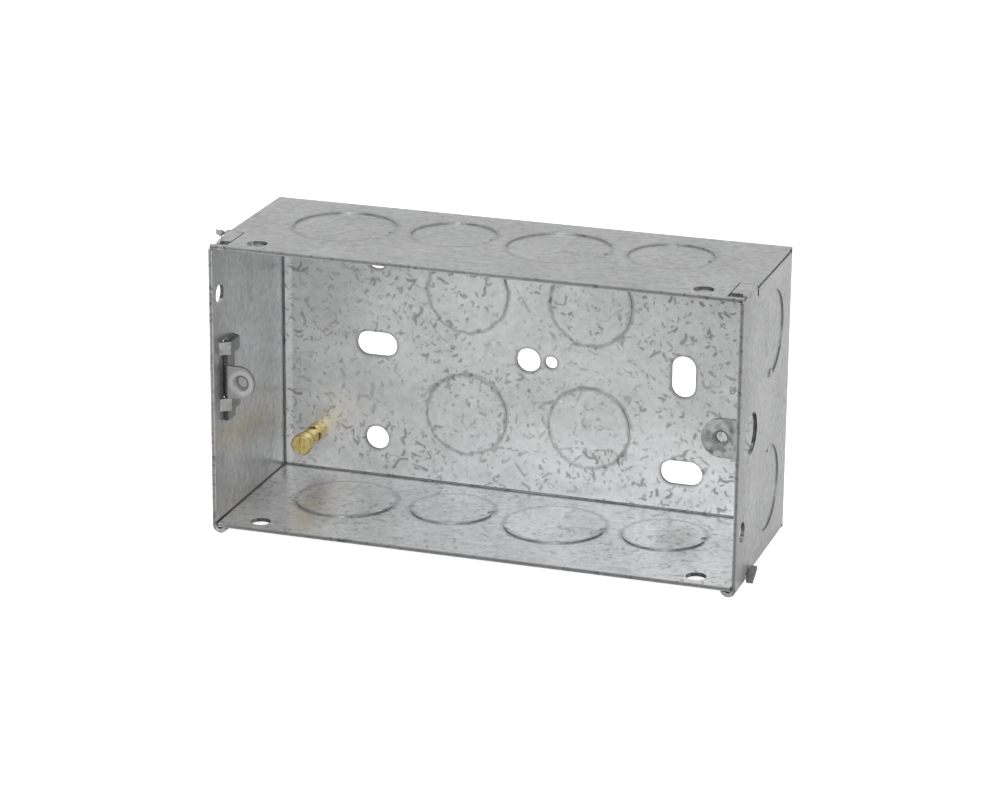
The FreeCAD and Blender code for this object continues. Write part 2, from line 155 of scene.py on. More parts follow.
class ThreadSizes(PropertyGroup):
    """The screw threads that the solids leave plain."""

    lug_bore: FloatProperty(
        name="Lug bore", description="Radius of the lugs' tapped holes", unit="LENGTH",
        default=1.45 * MM)
    lug_pitch: FloatProperty(
        name="Lug pitch", description="Rise of one turn in the lugs' holes", unit="LENGTH",
        default=0.6 * MM)
    shank_radius: FloatProperty(
        name="Shank radius", description="Radius of the terminal screw's shank", unit="LENGTH",
        default=1.25 * MM)
    shank_pitch: FloatProperty(
        name="Shank pitch", description="Rise of one turn on the terminal screw", unit="LENGTH",
        default=0.45 * MM)
    ridge: FloatProperty(
        name="Ridge", description="Radius of a thread ridge's section", unit="LENGTH",
        default=0.11 * MM)
    steps: IntProperty(
        name="Steps", description="Points in one turn of a ridge", min=8, max=96, default=32)


class StudioStage(PropertyGroup):
    """Floor, lights and camera."""

    floor_glow: FloatProperty(
        name="Floor glow", description="How far the floor is burnt out to white",
        min=0.0, max=4.0, default=0.85)
    sky: FloatProperty(
        name="Surrounding light", description="Strength of the even white light all round",
        min=0.0, max=4.0, default=0.60)
    key_power: FloatProperty(
        name="Key light", description="Power of the large lamp in front of the box", unit="POWER",
        min=0.0, max=500.0, default=6.9)
    fill_power: FloatProperty(
        name="Fill light", description="Power of the soft lamp at the front right", unit="POWER",
        min=0.0, max=500.0, default=0.2)
    lens: FloatProperty(
        name="Lens", description="Focal length in millimetres", min=20.0, max=300.0, default=130.3)
    place: FloatVectorProperty(
        name="Camera place", description="Where the camera stands", unit="LENGTH", size=3,
        default=(0.257937, -0.817150, 0.278234))
    aim: FloatVectorProperty(
        name="Camera aim", description="Point that the camera looks at", unit="LENGTH", size=3,
        default=(-0.005645, -0.006108, -0.009403))
    roll: FloatProperty(
        name="Camera roll", description="Turn of the camera about its own line of sight",
        unit="ROTATION", default=math.radians(0.53))


class NodeSketch:
    """Adds nodes to one tree. A socket given as an input is linked, and anything else is set."""

    salt_shift = (31.7, 17.3, 11.9)

    def __init__(self, tree):
        self.tree = tree

    def feed(self, socket, value):
        if isinstance(value, bpy.types.NodeSocket):
            self.tree.links.new(value, socket)
        else:
            socket.default_value = value

    def add(self, kind, inputs=None, **settings):
        node = self.tree.nodes.new(kind)
        for key, value in settings.items():
            setattr(node, key, value)
        for key, value in (inputs or {}).items():
            self.feed(node.inputs[key], value)
        return node

    def worked(self, kind, operation, values):
        node = self.add(kind, operation=operation)
        for socket, value in zip(node.inputs, values):
            self.feed(socket, value)
        return node

    def math(self, operation, *values):
        return self.worked("ShaderNodeMath", operation, values).outputs[0]

    def vector(self, operation, *values):
        return self.worked("ShaderNodeVectorMath", operation, values).outputs["Vector"]

    def measure(self, operation, *values):
        """A vector sum whose result is a plain number, such as a length."""
        return self.worked("ShaderNodeVectorMath", operation, values).outputs["Value"]

    def scaled(self, vector, factor):
        node = self.add("ShaderNodeVectorMath", {"Vector": vector, "Scale": factor}, operation="SCALE")
        return node.outputs[0]

    def parts(self, vector):
        return self.add("ShaderNodeSeparateXYZ", {"Vector": vector}).outputs

    def joined(self, x, y, z):
        return self.add("ShaderNodeCombineXYZ", {"X": x, "Y": y, "Z": z}).outputs[0]

    def either(self, factor, off, on):
        return self.add("ShaderNodeMix", {"Factor": factor, "A": off, "B": on}).outputs[0]

    def fade(self, value, full, none):
        """1 where the value is at full, falling smoothly to 0 where it is at none."""
        limits = {"Value": value, "From Min": full, "From Max": none, "To Min": 1.0, "To Max": 0.0}
        return self.add("ShaderNodeMapRange", limits, interpolation_type="SMOOTHSTEP").outputs[0]

    def blend(self, low, high, factor):
        """A plain number that goes from low to high."""
        limits = {"Value": factor, "To Min": low, "To Max": high}
        return self.add("ShaderNodeMapRange", limits).outputs[0]

    def noise(self, vector, scale, detail, roughness, salt):
        """Noise that each salt shifts to another place."""
        moved = self.vector("ADD", vector, [salt * shift for shift in self.salt_shift])
        grain = {"Vector": moved, "Scale": scale, "Detail": detail, "Roughness": roughness}
        return self.add("ShaderNodeTexNoise", grain, noise_dimensions="3D").outputs[0]

    def swing(self, noise, gain, base):
        """A base that a noise moves up and down."""
        return self.math("MULTIPLY_ADD", self.math("SUBTRACT", noise, 0.5), gain, base)

    def away(self, value, centre):
        """How far a value is from a centre, either way."""
        return self.math("ABSOLUTE", self.math("SUBTRACT", value, centre))

    def reach(self, across, along):
        """How far a point of a plane is from its nought."""
        return self.measure("LENGTH", self.joined(across, along, 0.0))

    def within(self, value, low, high):
        """1 between two limits and 0 outside them."""
        return self.math("LESS_THAN", self.away(value, (low + high) / 2), (high - low) / 2)

    def inverse(self, mask):
        return self.math("SUBTRACT", 1.0, mask)

    def all_of(self, *masks):
        product = masks[0]
        for mask in masks[1:]:
            product = self.math("MULTIPLY", product, mask)
        return product

    def most_of(self, *masks):
        largest = masks[0]
        for mask in masks[1:]:
            largest = self.math("MAXIMUM", largest, mask)
        return largest

    def least_of(self, *values):
        smallest = values[0]
        for value in values[1:]:
            smallest = self.math("MINIMUM", smallest, value)
        return smallest


def new_material(name):
    material = bpy.data.materials.new(name)
    material.use_nodes = True
    tree = material.node_tree
    tree.nodes.clear()
    sketch = NodeSketch(tree)
    output = sketch.add("ShaderNodeOutputMaterial")
    shader = sketch.add("ShaderNodeBsdfPrincipled")
    tree.links.new(shader.outputs[0], output.inputs["Surface"])
    return material, sketch, shader


class SheetPlaces:
    """Where each point of the folded sheet lies, in millimetres, and which way its face looks."""

    # A face counts as lying flat in a wall from this much of its normal, and not at all from that
    face_turn = (0.75, 0.65)

    def __init__(self, sketch):
        coordinates = sketch.add("ShaderNodeTexCoord")
        self.x, self.y, self.z = sketch.parts(sketch.scaled(coordinates.outputs["Object"], 1.0 / MM))
        self.wide, self.high = [sketch.math("ABSOLUTE", value) for value in (self.x, self.z)]
        turns = sketch.parts(sketch.vector("ABSOLUTE", coordinates.outputs["Normal"]))
        self.to_front = turns[1]
        on_faces = [sketch.fade(turn, *self.face_turn) for turn in turns]
        self.on_end, self.on_back, self.on_long = on_faces
        self.off_end, self.off_back, self.off_long = [sketch.inverse(mask) for mask in on_faces]
        self.on_floor = sketch.all_of(self.on_long, sketch.math("LESS_THAN", self.z, 0.0))
        self.in_rows = sketch.math("LESS_THAN", self.wide, 2 * PAIR_PITCH)
        self.in_plate = sketch.within(self.y, *BACK_PLATE)
        across = sketch.either(self.on_end, self.x, self.z)
        along = sketch.either(self.on_back, self.y, self.z)
        self.plane = sketch.joined(across, along, 0.0)


def ring(sketch, across, along, centre, radius, half_line, wave):
    """A thin wavy circle of a radius round a centre, at its full strength over part of its line."""
    full_part = 0.2
    reach = sketch.reach(*[sketch.math("SUBTRACT", value, middle)
                           for value, middle in zip((across, along), centre)])
    off = sketch.away(sketch.math("ADD", reach, wave), radius)
    return sketch.fade(off, half_line * full_part, half_line)


def hole_rim_shade(sketch, sheet):
    """A thin dark rim round every hole and slot punched in the back plate: painted shade of the punched
    edge.
    """
    rim_full, rim_none, strength = 0.2, 0.8, 0.6
    rims = []
    for centre_x, centre_z, run_x, run_z, radius in BACK_HOLES:
        across, along = [
            sketch.math("MAXIMUM", sketch.math("SUBTRACT", sketch.away(value, centre), run), 0.0)
            for value, centre, run in ((sheet.x, centre_x, run_x), (sheet.z, centre_z, run_z))]
        rims.append(sketch.fade(sketch.reach(across, along), radius + rim_full, radius + rim_none))
    return sketch.all_of(sketch.most_of(*rims), sheet.in_plate, strength)


def wisps(sketch, plane, scale, half_width, salt):
    """Short curved strokes with tapered ends: the level lines of one noise, cut up by another."""
    stroke_noise, level = (scale, 1.0, 0.4, salt), 0.5
    break_noise, break_edge = (scale * 2.1, 0.5, 0.5, salt + 5.0), (0.64, 0.50)
    soft_edge = (0.9, 0.0)
    step, least_slope, least_half = 0.06 / scale, 0.002, 0.001
    field = sketch.noise(plane, *stroke_noise)
    rises = [sketch.math("SUBTRACT", sketch.noise(sketch.vector("ADD", plane, way), *stroke_noise), field)
             for way in ((step, 0.0, 0.0), (0.0, step, 0.0))]
    slope = sketch.math("ADD", sketch.reach(*rises), least_slope)
    reach = sketch.math("DIVIDE", sketch.math("MULTIPLY", sketch.away(field, level), step), slope)
    breaks = sketch.fade(sketch.noise(plane, *break_noise), *break_edge)
    half = sketch.math("MULTIPLY_ADD", breaks, half_width, least_half)
    stroke = sketch.inverse(sketch.math("DIVIDE", reach, half))
    return sketch.all_of(sketch.fade(stroke, *soft_edge), breaks)


def wisp_marks(sketch, sheet, dull_corner, settings):
    """Wisps and spots, thicker in patches and in the dull corner, and faint on the walls."""
    per_mm = MM / settings.fleck_cell
    coarse_scale, coarse_half, coarse_salt = 0.66 * per_mm, 0.72, 3.7
    fine_scale, fine_half, fine_salt = 1.1 * per_mm, 0.5, 11.3
    spot_noise, spot_edge = (2.0 * per_mm, 1.0, 0.5, 21.0), (0.78, 0.62)
    patch_edge = (0.58, 0.42)
    # Strengths outside the patches and in them
    coarse_range, fine_range = (0.45, 1.0), (0.15, 0.9)
    patch_strength, spot_strength, floor_share = 0.75, 0.7, 0.6

    patches = sketch.fade(sketch.noise(sheet.plane, *PATCH_NOISE), *patch_edge)
    patches = sketch.most_of(sketch.all_of(patches, patch_strength), dull_corner)
    coarse = wisps(sketch, sheet.plane, coarse_scale, coarse_half, coarse_salt)
    fine = wisps(sketch, sheet.plane, fine_scale, fine_half, fine_salt)
    spots = sketch.fade(sketch.noise(sheet.plane, *spot_noise), *spot_edge)
    marks = sketch.most_of(sketch.all_of(coarse, sketch.blend(*coarse_range, patches)),
                           sketch.all_of(fine, sketch.blend(*fine_range, patches)),
                           sketch.all_of(spots, spot_strength))
    marked = sketch.most_of(sheet.on_back, sketch.all_of(sheet.on_floor, floor_share))
    return sketch.all_of(marks, sketch.blend(settings.streak_depth, settings.fleck_depth, marked))


def fold_shade_lines(sketch, sheet):
    """Painted shade: dark lines along the inside of the folds and of the corners."""
    line_full, line_none = 0.3, 0.55
    from_back = sketch.away(sheet.y, -SHEET)
    from_end = sketch.away(sheet.wide, INNER_WIDE)
    from_long = sketch.away(sheet.high, INNER_HIGH)
    folds = [sketch.most_of(*pair) for pair in (
        (from_back, from_end), (from_back, from_long), (from_end, from_long))]
    return sketch.fade(sketch.least_of(*folds), line_full, line_none)


def shear_lines_and_shade(sketch, sheet):
    """Soft broken rings round the knockouts, on the faces that lie flat in their wall: the shear line,
    darkened with painted shade of its crevice.
    """
    thin_line, wall_line, wave_height = 0.9, 1.3, 1.4
    long_strength, floor_strength, end_strength = 0.6, 0.9, 0.3
    faintest, strongest = 0.2, 0.95
    pair = 2 * PAIR_PITCH

    wave = sketch.swing(sketch.noise(sheet.plane, *WAVE_NOISE), wave_height, 0.0)
    row = sketch.math("FLOORED_MODULO", sketch.math("ADD", sheet.x, pair), pair)
    long_rims = sketch.most_of(*[
        ring(sketch, row, sheet.y, (middle, depth), radius, wall_line, wave)
        for middle, depth, radius in ((PAIR_PITCH * 0.5, LARGE_ROW, LARGE_RADIUS),
                                      (PAIR_PITCH * 1.5, SMALL_ROW, SMALL_RADIUS))])
    end_rims = ring(sketch, sheet.high, sheet.y, (END_UP, SMALL_ROW), SMALL_RADIUS, thin_line, wave)
    back_rims = ring(sketch, sheet.wide, sheet.high, (BACK_OUT, BACK_OUT), SMALL_RADIUS, thin_line, wave)
    in_long, in_end = [sketch.math("GREATER_THAN", away, inner - SHEET / 2)
                       for away, inner in ((sheet.high, INNER_HIGH), (sheet.wide, INNER_WIDE))]
    rims = sketch.most_of(
        sketch.all_of(long_rims, in_long, sheet.on_long, sheet.in_rows,
                      sketch.blend(long_strength, floor_strength, sheet.on_floor)),
        sketch.all_of(end_rims, in_end, sheet.on_end, end_strength),
        sketch.all_of(back_rims, sheet.in_plate))
    broken = sketch.blend(faintest, strongest, sketch.noise(sheet.plane, *BROKEN_NOISE))
    return sketch.all_of(rims, broken)


def bare_edges(sketch, sheet):
    """Cut edges, where the zinc is gone: of the open front, of holes and of the belt loops."""
    plate_cut, wall_cut, end_margin, long_margin = (-0.95, -0.05), (0.05, 0.97), 0.4, 0.5
    front_part, front_edge = (-46.9, -30.0), (-46.97, -46.90)
    hole_strength, loop_strength = 0.6, 0.6
    core_line, core_range = (0.15, 0.4), (0.5, 0.85)

    between_ends = sketch.math("LESS_THAN", sheet.wide, INNER_WIDE - end_margin)
    between_longs = sketch.math("LESS_THAN", sheet.high, INNER_HIGH - long_margin)
    near_front = sketch.within(sheet.y, *front_part)
    in_long, in_end = [sketch.within(away, *[inner + limit for limit in wall_cut])
                       for away, inner in ((sheet.high, INNER_HIGH), (sheet.wide, INNER_WIDE))]
    holes = sketch.most_of(
        sketch.all_of(sketch.within(sheet.y, *plate_cut), between_ends, between_longs,
                      sheet.off_back, hole_strength),
        sketch.all_of(in_long, between_ends, near_front, sheet.on_back),
        sketch.all_of(in_end, between_longs, near_front, sheet.on_back))
    loops = sketch.all_of(sheet.on_long, sketch.within(sheet.x, -INNER_WIDE, LOOP_IN - INNER_WIDE),
                          sketch.within(sheet.z, *LOOPS_UP), loop_strength)
    core = sketch.least_of(sketch.away(sheet.wide, INNER_WIDE + SHEET / 2),
                           sketch.away(sheet.high, INNER_HIGH + SHEET / 2))
    rough_core = sketch.blend(*core_range, sketch.fade(core, *core_line))
    front = sketch.all_of(sketch.fade(sheet.y, *front_edge), rough_core)
    return sketch.most_of(front, holes, loops)


def knockout_step_shade(sketch, sheet):
    """Painted shade on the sheared steps round the knockouts, deeper where they look straight out at the key
    lamp, which holds back its highlight there.
    """
    step_inside, step_outside = (-0.37, -0.02), (0.62, 0.98)
    end_height, along = 31.0, (-34.5, -6.0)
    straight_edge, straight_range = (0.99, 0.955), (0.5, 1.1)
    long_steps, end_steps = [
        sketch.all_of(sketch.most_of(*[sketch.within(away, inner + low, inner + high)
                                       for low, high in (step_inside, step_outside)]), off_wall)
        for away, inner, off_wall in ((sheet.high, INNER_HIGH, sheet.off_long),
                                      (sheet.wide, INNER_WIDE, sheet.off_end))]
    straight_out = sketch.fade(sheet.to_front, *straight_edge)
    steps = sketch.most_of(
        sketch.all_of(long_steps, sketch.blend(*straight_range, straight_out), sheet.in_rows),
        sketch.all_of(end_steps, sketch.math("LESS_THAN", sheet.high, end_height)))
    return sketch.all_of(steps, sketch.within(sheet.y, *along))


def fixed_lug_shade(sketch, sheet):
    """Painted shade on the lug that is bent in from the right wall, broken up by mottled zinc."""
    across, along, up = (54.0, 64.9), (-43.0, -39.0), (-5.0, 5.0)
    mottle_edge, mottle_range = (0.60, 0.42), (0.65, 1.3)
    mottle = sketch.fade(sketch.noise(sheet.plane, *MOTTLE_NOISE), *mottle_edge)
    return sketch.all_of(sketch.within(sheet.x, *across), sketch.within(sheet.z, *up),
                         sketch.within(sheet.y, *along), sketch.blend(*mottle_range, mottle))


def belt_loop_shade(sketch, sheet):
    """Painted shade on the loops that hold the sliding lug to the left wall."""
    off_wall = 0.1
    return sketch.all_of(sketch.within(sheet.x, off_wall - INNER_WIDE, LOOP_IN - INNER_WIDE),
                         sketch.within(sheet.z, *LOOPS_UP), sketch.within(sheet.y, *LOOPS_ALONG))


def zinc_sheet_material(settings):
    """Zinc-coated sheet: soft wisps and clouds, bare cut edges and a stained corner, with painted shade in
    the folds, round the holes, along the knockouts' shear lines and steps, on the fixed lug, the belt loops
    and the tongues and near the front of the end walls, and a painted sheen by the left fold.
    """
    corner, corner_reach = (52.0, 0.0, 27.0), (6.0, 44.0)
    front_reach, fold_sheen_edge, inner_side, tongues_out = (-46.0, -33.0), (-63.4, -62.4), -0.9, 1.1
    wall_streaks, back_streaks, cloud_gain, grain_gain = 0.8, 0.45, 0.35, 0.12
    # Depths of painted shade on the knockout steps, the fixed lug, the belt loops and the tongues; the last
    # depth serves both the stained corner and the painted shade near the front.
    step_shade_depth, lug_shade_depth, loop_shade_depth, tongue_shade_depth, stain_and_shade_depth = 0.5, 0.42, 0.52, 0.55, 0.18
    # Gain of the painted sheen by the left fold, then how much the streaks and marks dull the zinc.
    fold_sheen_gain, streak_dulling, mark_dulling = 0.3, 0.2, 0.25
    grain_relief, streak_relief, wall_relief, back_relief = 0.25, 0.5, 0.5, 1.0
    bump_strength, bump_height = 0.2, 0.08 * MM

    material, sketch, shader = new_material("zinc_sheet_finish")
    sheet = SheetPlaces(sketch)
    from_corner = sketch.measure("DISTANCE", sketch.joined(sheet.x, 0.0, sheet.z), corner)
    dull_corner = sketch.all_of(sheet.on_back, sketch.fade(from_corner, *corner_reach))
    # Painted shade on the end walls, deepening towards the open front.
    painted_front_shade = sketch.all_of(sheet.on_end, sketch.fade(sheet.y, *front_reach))
    # Painted sheen: a lighter band on the inside of the back plate, beside the left fold.
    inside = sketch.math("LESS_THAN", sheet.y, inner_side)
    painted_fold_sheen = sketch.all_of(sketch.fade(sheet.x, *fold_sheen_edge), sheet.on_back, inside)
    # Painted shade on the tongues that stand out past the end walls.
    tongue_shade = sketch.math("GREATER_THAN", sheet.wide, INNER_WIDE + tongues_out)

    marks = wisp_marks(sketch, sheet, dull_corner, settings)
    streaks, clouds, grain = [sketch.noise(sheet.plane, *recipe)
                              for recipe in (STREAK_NOISE, CLOUD_NOISE, GRAIN_NOISE)]
    streak_gain = sketch.blend(wall_streaks, back_streaks, sheet.on_back)
    shade = 1.0
    for noise, gain in ((streaks, streak_gain), (clouds, cloud_gain), (grain, grain_gain)):
        shade = sketch.swing(noise, gain, shade)
    shade = sketch.all_of(shade, sketch.inverse(marks),
                          sketch.math("MULTIPLY_ADD", painted_fold_sheen, fold_sheen_gain, 1.0))
    # Painted shade in the folds and round the holes, and along the knockouts' shear lines.
    lines = sketch.most_of(fold_shade_lines(sketch, sheet), shear_lines_and_shade(sketch, sheet), hole_rim_shade(sketch, sheet))
    for mask, depth in ((lines, settings.line_shade_depth),
                        (bare_edges(sketch, sheet), settings.bare_depth),
                        (knockout_step_shade(sketch, sheet), step_shade_depth),
                        (fixed_lug_shade(sketch, sheet), lug_shade_depth),
                        (belt_loop_shade(sketch, sheet), loop_shade_depth),
                        (tongue_shade, tongue_shade_depth),
                        (dull_corner, stain_and_shade_depth),
                        (painted_front_shade, stain_and_shade_depth)):
        shade = sketch.all_of(shade, sketch.inverse(sketch.all_of(mask, depth)))
    sketch.feed(shader.inputs["Base Color"], sketch.scaled(tuple(settings.tone), shade))
    shader.inputs["Metallic"].default_value = settings.metallic

    dull = sketch.blend(settings.wall_roughness, settings.roughness, sheet.on_back)
    dull = sketch.swing(streaks, streak_dulling, dull)
    sketch.feed(shader.inputs["Roughness"], sketch.math("MULTIPLY_ADD", marks, mark_dulling, dull))
    relief = sketch.math("MULTIPLY_ADD", grain, grain_relief, sketch.all_of(streaks, streak_relief))
    relief = sketch.all_of(sketch.math("SUBTRACT", relief, marks),
                           sketch.blend(wall_relief, back_relief, sheet.on_back))
    bump = sketch.add("ShaderNodeBump", {
        "Strength": bump_strength, "Distance": bump_height, "Height": relief})
    sketch.feed(shader.inputs["Normal"], bump.outputs[0])
    return material


def eased_bump(sketch, shader, edge, strength, depth, height):
    """Rounds the sharp edges a little, and raises a relief on the faces. Edge and depth are lengths."""
    eased = sketch.add("ShaderNodeBevel", {"Radius": edge}, samples=4)
    bump = sketch.add("ShaderNodeBump", {"Strength": strength, "Distance": depth, "Height": height,
                                         "Normal": eased.outputs[0]})
    sketch.feed(shader.inputs["Normal"], bump.outputs[0])


def zinc_lug_material(settings):
    """The sliding lug: the same zinc on a stamped strip, drawn up and down, with a painted highlight on the
    rim round its hole and painted shade on its front-facing faces by the wall.
    """
    drawn_out, streak_noise, spot_noise = (1.0, 1.0, 0.18), (0.9, 3.0, 0.6, 1.5), (1.3, 2.0, 0.5, 5.0)
    streak_gain, spot_gain, spot_dulling, shine = 0.35, 0.3, 0.3, 0.12
    wall_edge, front_turn, gap_shade_range = (-64.2, -63.6), (-0.5, -0.2), (1.0, 0.3)
    highlight_radius, highlight_half, highlight_gain, off_highlight = 2.6, 0.9, 0.35, 0.86

    material, sketch, shader = new_material("zinc_lug_finish")
    coordinates = sketch.add("ShaderNodeTexCoord")
    place = sketch.scaled(coordinates.outputs["Object"], 1.0 / MM)
    across, _, up = sketch.parts(place)
    streaks = sketch.noise(sketch.vector("MULTIPLY", place, drawn_out), *streak_noise)
    spots = sketch.noise(place, *spot_noise)
    shade = sketch.swing(spots, spot_gain, sketch.swing(streaks, streak_gain, 1.0))
    # Painted shade on the faces by the wall that look to the front, where the lug meets its gap.
    by_wall = sketch.fade(across, *wall_edge)
    to_front = sketch.fade(sketch.parts(coordinates.outputs["Normal"])[1], *front_turn)
    strip = sketch.blend(*gap_shade_range, sketch.all_of(by_wall, to_front))
    # Painted highlight on the raised rim round the hole, with the rest of the lug a little darker.
    rim_highlight = ring(sketch, across, up, (-LUG_COLUMN, 0.0), highlight_radius, highlight_half, 0.0)
    shade = sketch.all_of(shade, strip, sketch.math("MULTIPLY_ADD", rim_highlight, highlight_gain, off_highlight))
    sketch.feed(shader.inputs["Base Color"], sketch.scaled(tuple(settings.lug_tone), shade))
    shader.inputs["Metallic"].default_value = settings.metallic
    dull = sketch.math("MULTIPLY_ADD", spots, spot_dulling, settings.roughness - shine)
    sketch.feed(shader.inputs["Roughness"], dull)
    eased_bump(sketch, shader, edge=0.16 * MM, strength=0.3, depth=0.06 * MM, height=streaks)
    return material


def turned_brass_material(settings):
    """Turned brass: fine rings round the terminal's axis, and a little brown tarnish."""
    wobble_noise, wobble_gain = (0.8, 1.0, 0.5, 2.0), 1.4
    tarnish_noise, tarnish_edge = (0.9, 3.0, 0.6, 7.0), (0.66, 0.46)
    turning_gain, tarnish_depth, tarnish_dulling, metallic = 0.05, 0.22, 0.2, 0.9

    material, sketch, shader = new_material("turned_brass_finish")
    metres = sketch.add("ShaderNodeTexCoord").outputs["Object"]
    place = sketch.scaled(metres, 1.0 / MM)
    along = sketch.math("MULTIPLY", sketch.parts(metres)[1], math.tau / settings.turning_pitch)
    wobble = sketch.noise(place, *wobble_noise)
    turning = sketch.math("SINE", sketch.math("MULTIPLY_ADD", wobble, wobble_gain, along))
    tarnish = sketch.fade(sketch.noise(place, *tarnish_noise), *tarnish_edge)
    shade = sketch.math("MULTIPLY_ADD", turning, turning_gain, 1.0)
    shade = sketch.math("SUBTRACT", shade, sketch.all_of(tarnish, tarnish_depth))
    sketch.feed(shader.inputs["Base Color"], sketch.scaled(tuple(settings.tone), shade))
    shader.inputs["Metallic"].default_value = metallic
    dull = sketch.math("MULTIPLY_ADD", tarnish, tarnish_dulling, settings.roughness)
    sketch.feed(shader.inputs["Roughness"], dull)
    eased_bump(sketch, shader, edge=0.12 * MM, strength=0.2, depth=0.03 * MM, height=turning)
    return material


def finish_node(name, material):
    """Gives one solid of the frame its material."""
    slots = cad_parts[name].data.materials
    slots.clear()
    slots.append(material)


def thread_tree():
    """A ridge that winds up a cylinder along Y, from a spiral and a small round section."""
    tree = bpy.data.node_groups.new("thread_ridge", "GeometryNodeTree")
    face = tree.interface
    face.new_socket("Geometry", in_out="OUTPUT", socket_type="NodeSocketGeometry")
    for name in ("Radius", "Pitch", "Turns", "Section"):
        face.new_socket(name, in_out="INPUT", socket_type="NodeSocketFloat")
    face.new_socket("Steps", in_out="INPUT", socket_type="NodeSocketInt")
    face.new_socket("Start", in_out="INPUT", socket_type="NodeSocketVector")
    face.new_socket("Finish", in_out="INPUT", socket_type="NodeSocketMaterial")
    sketch = NodeSketch(tree)
    sizes = sketch.add("NodeGroupInput").outputs
    height = sketch.math("MULTIPLY", sizes["Pitch"], sizes["Turns"])
    spiral = sketch.add("GeometryNodeCurveSpiral", {
        "Resolution": sizes["Steps"], "Rotations": sizes["Turns"], "Start Radius": sizes["Radius"],
        "End Radius": sizes["Radius"], "Height": height})
    section_sides = 6
    section = sketch.add("GeometryNodeCurvePrimitiveCircle", {
        "Resolution": section_sides, "Radius": sizes["Section"]})
    ridge = sketch.add("GeometryNodeCurveToMesh", {
        "Curve": spiral.outputs[0], "Profile Curve": section.outputs[0], "Fill Caps": True})
    laid = sketch.add("GeometryNodeTransform", {
        "Geometry": ridge.outputs[0], "Translation": sizes["Start"], "Rotation": (-math.pi / 2, 0.0, 0.0)})
    smooth = sketch.add("GeometryNodeSetShadeSmooth", {"Geometry": laid.outputs[0]})
    whole = sketch.add("GeometryNodeRealizeInstances", {"Geometry": smooth.outputs[0]})
    finished = sketch.add("GeometryNodeSetMaterial", {
        "Geometry": whole.outputs[0], "Material": sizes["Finish"]})
    output = sketch.add("NodeGroupOutput")
    tree.links.new(finished.outputs[0], output.inputs[0])
    return tree


def thread_piece(name, tree, values):
    """Runs the tree with its sizes, and keeps the result as a plain mesh."""
    piece = bpy.data.objects.new(name, bpy.data.meshes.new(name))
    bpy.context.scene.collection.objects.link(piece)
    modifier = piece.modifiers.new("thread", "NODES")
    modifier.node_group = tree
    for item in tree.interface.items_tree:
        if item.in_out == "INPUT":
            modifier[item.identifier] = values[item.name]
    graph = bpy.context.evaluated_depsgraph_get()
    mesh = bpy.data.meshes.new_from_object(piece.evaluated_get(graph))
    if not mesh.polygons:
        raise RuntimeError(name + " came out empty")
    piece.modifiers.clear()
    piece.data = mesh
    mesh.name = name
    return piece


class BACKBOX_OT_zinc_sheet(Operator):
    """Gives the folded box its zinc"""

    bl_idname = "backbox.zinc_sheet"
    bl_label = "Zinc on the box"

    def execute(self, context):
        finish_node("box_shell", zinc_sheet_material(context.scene.backbox_zinc))
        return {"FINISHED"}


class BACKBOX_OT_zinc_lug(Operator):
    """Gives the sliding lug its zinc"""

    bl_idname = "backbox.zinc_lug"
    bl_label = "Zinc on the sliding lug"

    def execute(self, context):
        finish_node("adjustable_lug", zinc_lug_material(context.scene.backbox_zinc))
        return {"FINISHED"}


class BACKBOX_OT_brass(Operator):
    """Gives the earth terminal its brass"""

    bl_idname = "backbox.brass"
    bl_label = "Brass on the terminal"

    def execute(self, context):
        brass = turned_brass_material(context.scene.backbox_brass)
        finish_node("earth_terminal_pillar", brass)
        finish_node("earth_terminal_screw", brass)
        return {"FINISHED"}


class BACKBOX_OT_threads(Operator):
    """Winds the thread ridges in both lugs and on the terminal screw"""

    bl_idname = "backbox.threads"
    bl_label = "Thread ridges"

    # Turns in a lug's hole, and where they start behind the lug's front
    lug_turns = 1.9
    lug_start = 0.7 * MM
    # How much of a ridge's section is sunk in its hole or shank
    lug_sunk = 0.45
    shank_sunk = 0.4
    # The terminal screw's head, and the chamfer at its tip
    head_length = 2.8 * MM
    tip_chamfer = 0.35 * MM

    def execute(self, context):
        sizes = context.scene.backbox_threads
        tree = thread_tree()
        zinc = bpy.data.materials["zinc_lug_finish"]
        brass = bpy.data.materials["turned_brass_finish"]
        section = {"Section": sizes.ridge, "Steps": sizes.steps}
        lug_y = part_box("adjustable_lug")[0].y + self.lug_start
        for name, side, body in (("thread_left_lug", -1, "sliding_lug"), ("thread_right_lug", 1, "box")):
            piece = thread_piece(name, tree, {
                "Radius": sizes.lug_bore + sizes.ridge * self.lug_sunk, "Pitch": sizes.lug_pitch,
                "Turns": self.lug_turns, **section,
                "Start": (side * LUG_COLUMN * MM, lug_y, 0.0), "Finish": zinc})
            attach(piece, body)
        screw_low, screw_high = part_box("earth_terminal_screw")
        middle = (screw_low + screw_high) / 2
        shoulder = screw_low.y + self.head_length
        tip = screw_high.y - self.tip_chamfer
        turns = (tip - shoulder - 2 * sizes.ridge) / sizes.shank_pitch
        piece = thread_piece("thread_terminal_screw", tree, {
            "Radius": sizes.shank_radius - sizes.ridge * self.shank_sunk, "Pitch": sizes.shank_pitch,
            "Turns": turns, **section,
            "Start": (middle.x, shoulder + sizes.ridge, middle.z), "Finish": brass})
        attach(piece, "terminal_screw")
        return {"FINISHED"}


